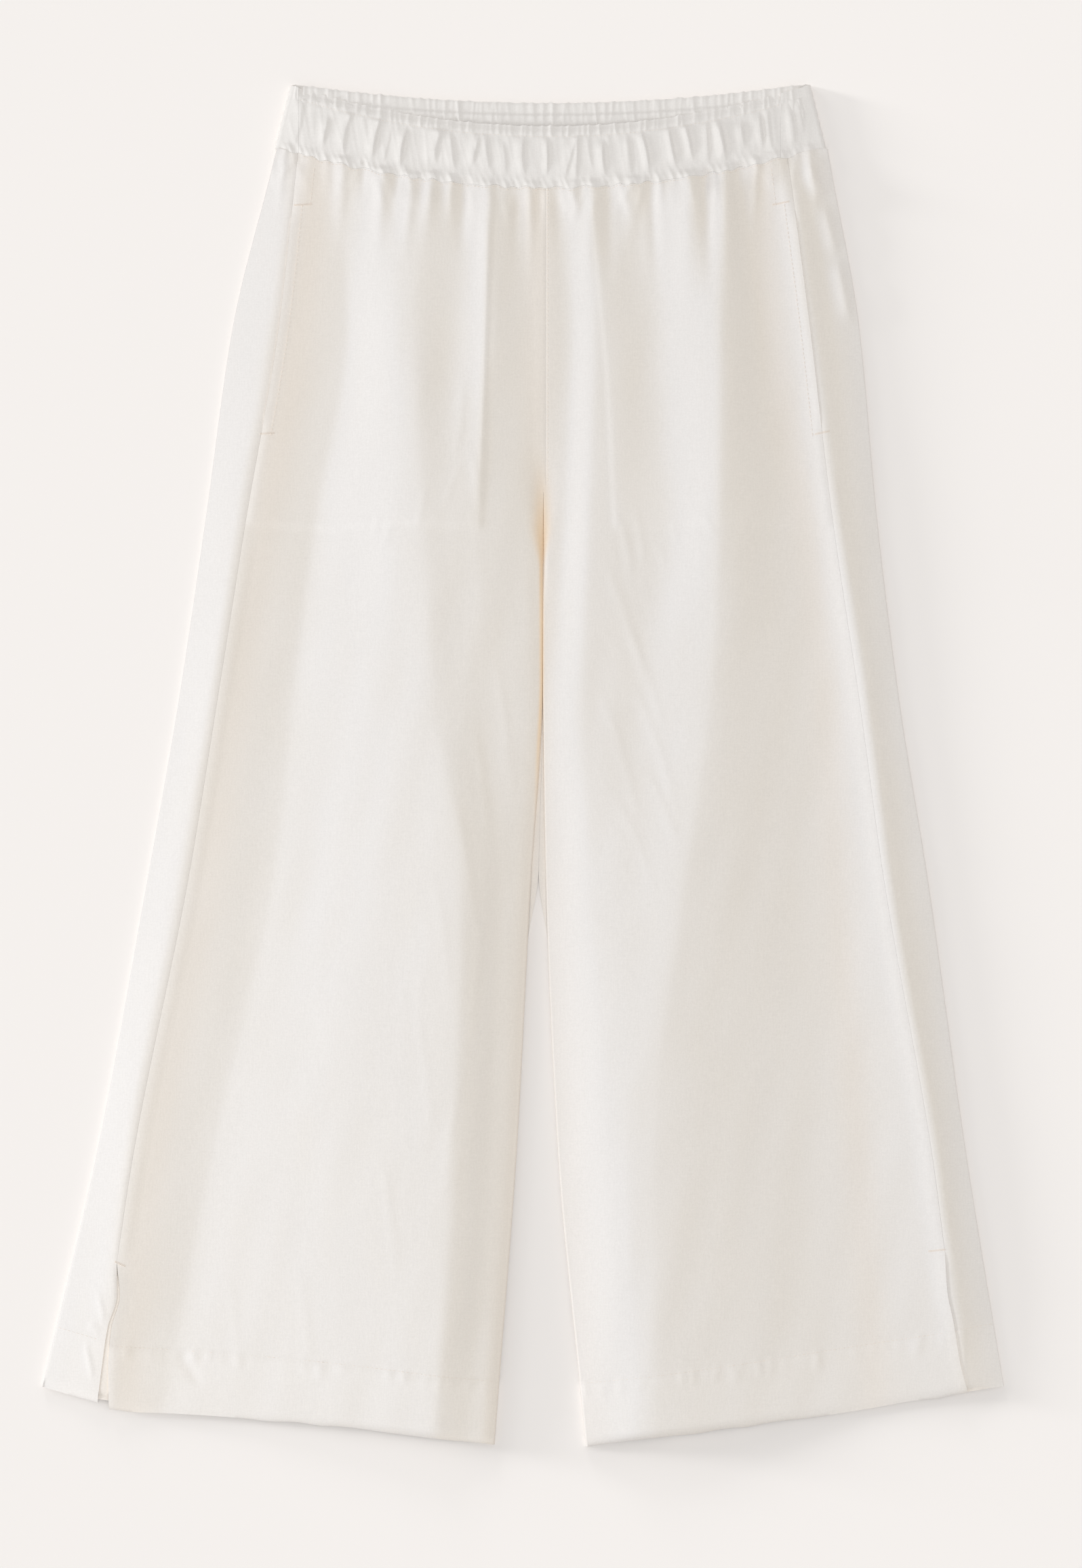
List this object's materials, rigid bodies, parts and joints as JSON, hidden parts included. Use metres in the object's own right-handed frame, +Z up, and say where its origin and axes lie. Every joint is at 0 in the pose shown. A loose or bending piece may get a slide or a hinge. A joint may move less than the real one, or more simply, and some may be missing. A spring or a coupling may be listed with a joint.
{
  "type": "culottes, laid flat",
  "caption": "Wide-legged pull-on culottes in linen, laid flat face up, with an elastic casing at the waist, side-seam pockets and slit hems.",
  "frame": {"origin": "centre of the bounding box, on the surface that the garment lies on", "axes": "+Y towards the waist, +X towards the wearer's left leg, +Z up from the surface; the front faces up"},
  "size_m": [0.6424, 0.9085, 0.0241],
  "materials": {
    "linen": "plain-woven off-white linen, matt, softly creased",
    "casing": "the same linen gathered on elastic",
    "pocketing": "the same linen, unpressed"
  },
  "bodies": {
    "root": {"front_right": "linen", "front_left": "linen", "back_right": "linen", "back_left": "linen", "pocket_bag_right": "pocketing", "pocket_bag_left": "pocketing", "waistband_front": "casing", "waistband_back": "casing"}
  },
  "joints": []
}
